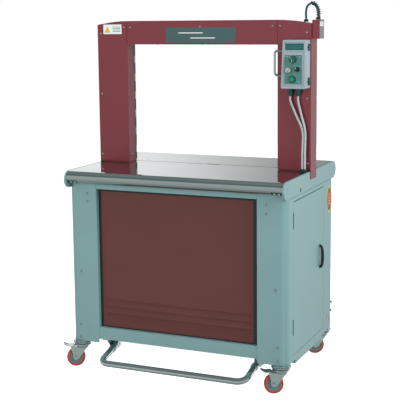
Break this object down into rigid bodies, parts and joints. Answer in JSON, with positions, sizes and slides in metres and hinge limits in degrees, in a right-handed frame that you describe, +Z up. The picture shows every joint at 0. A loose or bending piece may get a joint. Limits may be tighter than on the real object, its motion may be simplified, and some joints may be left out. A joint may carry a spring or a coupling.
{
  "type": "arch strapping machine",
  "caption": "Arch strapping machine on casters: red arch over a steel table, green cabinet with side doors, foot bar and a hinged control box.",
  "frame": {"origin": "on the floor under the middle of the machine's box, its free cables left out", "axes": "+X the machine's right seen from the front, +Y its back, +Z up"},
  "size_m": [0.9962, 0.7182, 1.4592],
  "materials": {
    "green_paint": "semi-gloss green-grey paint on sheet steel",
    "red_paint": "gloss dark red paint on sheet steel",
    "stainless": "polished stainless sheet",
    "zinc": "bright zinc plate",
    "chrome": "bright chrome plate",
    "black_plastic": "satin black moulded plastic",
    "box_plastic": "pale grey-blue moulded plastic",
    "teal_plate": "printed teal film",
    "button_green": "glossy green plastic",
    "dark_rubber": "dark rubber",
    "cable_jacket": "grey cable jacket",
    "urethane": "red urethane tyre on a grey hub",
    "strap_plastic": "off-white plastic strap",
    "casting": "grey painted casting"
  },
  "bodies": {
    "machine": {"base_frame": "green_paint", "upper_frame": "green_paint", "right_side_shell": "green_paint", "left_side_shell": "green_paint", "rear_panel": "green_paint", "right_end_plate": "green_paint", "left_end_plate": "green_paint", "front_panel": "red_paint", "arch_frame": "red_paint", "right_column_cover": "red_paint", "left_column_cover": "red_paint", "beam_cover": "red_paint", "junction_box": "red_paint", "cable_corner_plate": "stainless", "reel_stand": "zinc", "foot_bracket_left": "zinc", "foot_bracket_right": "zinc", "box_handle": "chrome", "strap_chute": "black_plastic", "gland_left": "black_plastic", "gland_right": "black_plastic", "cord_gland": "black_plastic", "arch_gland": "black_plastic", "control_box_body": "box_plastic", "electrical_box": "box_plastic", "cable_grommet": "dark_rubber", "cable_left": "cable_jacket", "cable_right": "cable_jacket", "arch_cord": "cable_jacket", "pool_box": "casting", "drive_motor": "casting", "sealing_head": "casting"},
    "control_lid": {"control_box_lid": "box_plastic", "keypad_plate": "teal_plate"},
    "dial": {"dial_knob": "black_plastic"},
    "left_selector": {"selector_left": "casting"},
    "right_selector": {"selector_right": "black_plastic"},
    "start_push": {"start_button": "button_green"},
    "front_plate": {"front_table_plate": "stainless"},
    "rear_plate": {"rear_table_plate": "stainless"},
    "right_door": {"right_door": "green_paint", "right_door_handle": "black_plastic"},
    "left_door": {"left_door": "green_paint", "left_door_handle": "black_plastic"},
    "latch": {"table_latch": "zinc"},
    "foot_bar": {"foot_bar": "chrome"},
    "reel": {"strap_reel": "casting", "strap_coil": "strap_plastic"},
    "feed_roller": {"feed_roller": "dark_rubber"},
    "pressure_roller": {"pressure_roller": "dark_rubber"},
    "swivel_front_left": {"caster_fork_front_left": "zinc"},
    "wheel_front_left": {"caster_wheel_front_left": "urethane"},
    "swivel_front_right": {"caster_fork_front_right": "zinc"},
    "wheel_front_right": {"caster_wheel_front_right": "urethane"},
    "swivel_rear_left": {"caster_fork_rear_left": "zinc"},
    "wheel_rear_left": {"caster_wheel_rear_left": "urethane"},
    "swivel_rear_right": {"caster_fork_rear_right": "zinc"},
    "wheel_rear_right": {"caster_wheel_rear_right": "urethane"},
    "pedal_front_left": {"brake_pedal_front_left": "zinc"},
    "pedal_front_right": {"brake_pedal_front_right": "zinc"}
  },
  "joints": [
    {"name": "lid_hinge", "type": "hinge", "parent": "machine", "child": "control_lid", "pos_m": [0.47009, -0.02143, 1.225], "axis": [0, 0, 1], "range_deg": [0, 110]},
    {"name": "dial_turn", "type": "hinge", "parent": "control_lid", "child": "dial", "pos_m": [0.41509, -0.05143, 1.244], "axis": [0, -1, 0], "range_deg": [-195, 105]},
    {"name": "left_selector_turn", "type": "hinge", "parent": "control_lid", "child": "left_selector", "pos_m": [0.39659, -0.05143, 1.205], "axis": [0, -1, 0], "range_deg": [-45, 45]},
    {"name": "right_selector_turn", "type": "hinge", "parent": "control_lid", "child": "right_selector", "pos_m": [0.43259, -0.05143, 1.207], "axis": [0, -1, 0], "range_deg": [-45, 45]},
    {"name": "start_push", "type": "slide", "parent": "control_lid", "child": "start_push", "axis": [0, 1, 0], "range_m": [0, 0.003], "stiffness_N_per_m": 600, "springref_m": -0.0005},
    {"name": "front_plate_hinge", "type": "hinge", "parent": "machine", "child": "front_plate", "pos_m": [0.00809, -0.27693, 0.786], "axis": [1, 0, 0], "range_deg": [0, 95]},
    {"name": "rear_plate_hinge", "type": "hinge", "parent": "machine", "child": "rear_plate", "pos_m": [0.00809, 0.33307, 0.786], "axis": [-1, 0, 0], "range_deg": [0, 95]},
    {"name": "right_door_hinge", "type": "hinge", "parent": "machine", "child": "right_door", "pos_m": [0.46709, -0.19393, 0.43], "axis": [0, 0, -1], "range_deg": [0, 110]},
    {"name": "left_door_hinge", "type": "hinge", "parent": "machine", "child": "left_door", "pos_m": [-0.45091, -0.19393, 0.43], "axis": [0, 0, 1], "range_deg": [0, 110]},
    {"name": "latch_push", "type": "slide", "parent": "machine", "child": "latch", "axis": [-1, 0, 0], "range_m": [0, 0.004], "stiffness_N_per_m": 800, "springref_m": -0.0005},
    {"name": "foot_bar_press", "type": "hinge", "parent": "machine", "child": "foot_bar", "pos_m": [0.00809, -0.19693, 0.095], "axis": [1, 0, 0], "range_deg": [0, 7], "stiffness_Nm_per_rad": 40, "springref_deg": -9.17},
    {"name": "reel_turn", "type": "hinge", "parent": "machine", "child": "reel", "pos_m": [0.09309, -0.00193, 0.385], "axis": [1, 0, 0], "continuous": true},
    {"name": "feed_roller_turn", "type": "hinge", "parent": "machine", "child": "feed_roller", "pos_m": [-0.01991, 0.06207, 0.652], "axis": [1, 0, 0], "continuous": true},
    {"name": "pressure_roller_turn", "type": "hinge", "parent": "machine", "child": "pressure_roller", "pos_m": [-0.01991, 0.10507, 0.652], "axis": [1, 0, 0], "continuous": true},
    {"name": "swivel_front_left", "type": "hinge", "parent": "machine", "child": "swivel_front_left", "pos_m": [-0.41891, -0.24193, 0.1], "axis": [0, 0, 1], "continuous": true},
    {"name": "roll_front_left", "type": "hinge", "parent": "swivel_front_left", "child": "wheel_front_left", "pos_m": [-0.44449, -0.25332, 0.0375], "axis": [0.4067, -0.9135, 0], "continuous": true},
    {"name": "swivel_front_right", "type": "hinge", "parent": "machine", "child": "swivel_front_right", "pos_m": [0.43509, -0.24193, 0.1], "axis": [0, 0, 1], "continuous": true},
    {"name": "roll_front_right", "type": "hinge", "parent": "swivel_front_right", "child": "wheel_front_right", "pos_m": [0.40951, -0.25332, 0.0375], "axis": [0.4067, -0.9135, 0], "continuous": true},
    {"name": "swivel_rear_left", "type": "hinge", "parent": "machine", "child": "swivel_rear_left", "pos_m": [-0.41891, 0.27807, 0.1], "axis": [0, 0, 1], "continuous": true},
    {"name": "roll_rear_left", "type": "hinge", "parent": "swivel_rear_left", "child": "wheel_rear_left", "pos_m": [-0.44449, 0.26668, 0.0375], "axis": [0.4067, -0.9135, 0], "continuous": true},
    {"name": "swivel_rear_right", "type": "hinge", "parent": "machine", "child": "swivel_rear_right", "pos_m": [0.43509, 0.27807, 0.1], "axis": [0, 0, 1], "continuous": true},
    {"name": "roll_rear_right", "type": "hinge", "parent": "swivel_rear_right", "child": "wheel_rear_right", "pos_m": [0.40951, 0.26668, 0.0375], "axis": [0.4067, -0.9135, 0], "continuous": true},
    {"name": "brake_front_left", "type": "hinge", "parent": "swivel_front_left", "child": "pedal_front_left", "pos_m": [-0.44997, -0.25576, 0.0575], "axis": [0.4067, -0.9135, 0], "range_deg": [0, 8]},
    {"name": "brake_front_right", "type": "hinge", "parent": "swivel_front_right", "child": "pedal_front_right", "pos_m": [0.40403, -0.25576, 0.0575], "axis": [0.4067, -0.9135, 0], "range_deg": [0, 8]}
  ],
  "couplings": [
    {"joint": "pressure_roller_turn", "follows": "feed_roller_turn", "ratio": -1.625}
  ]
}
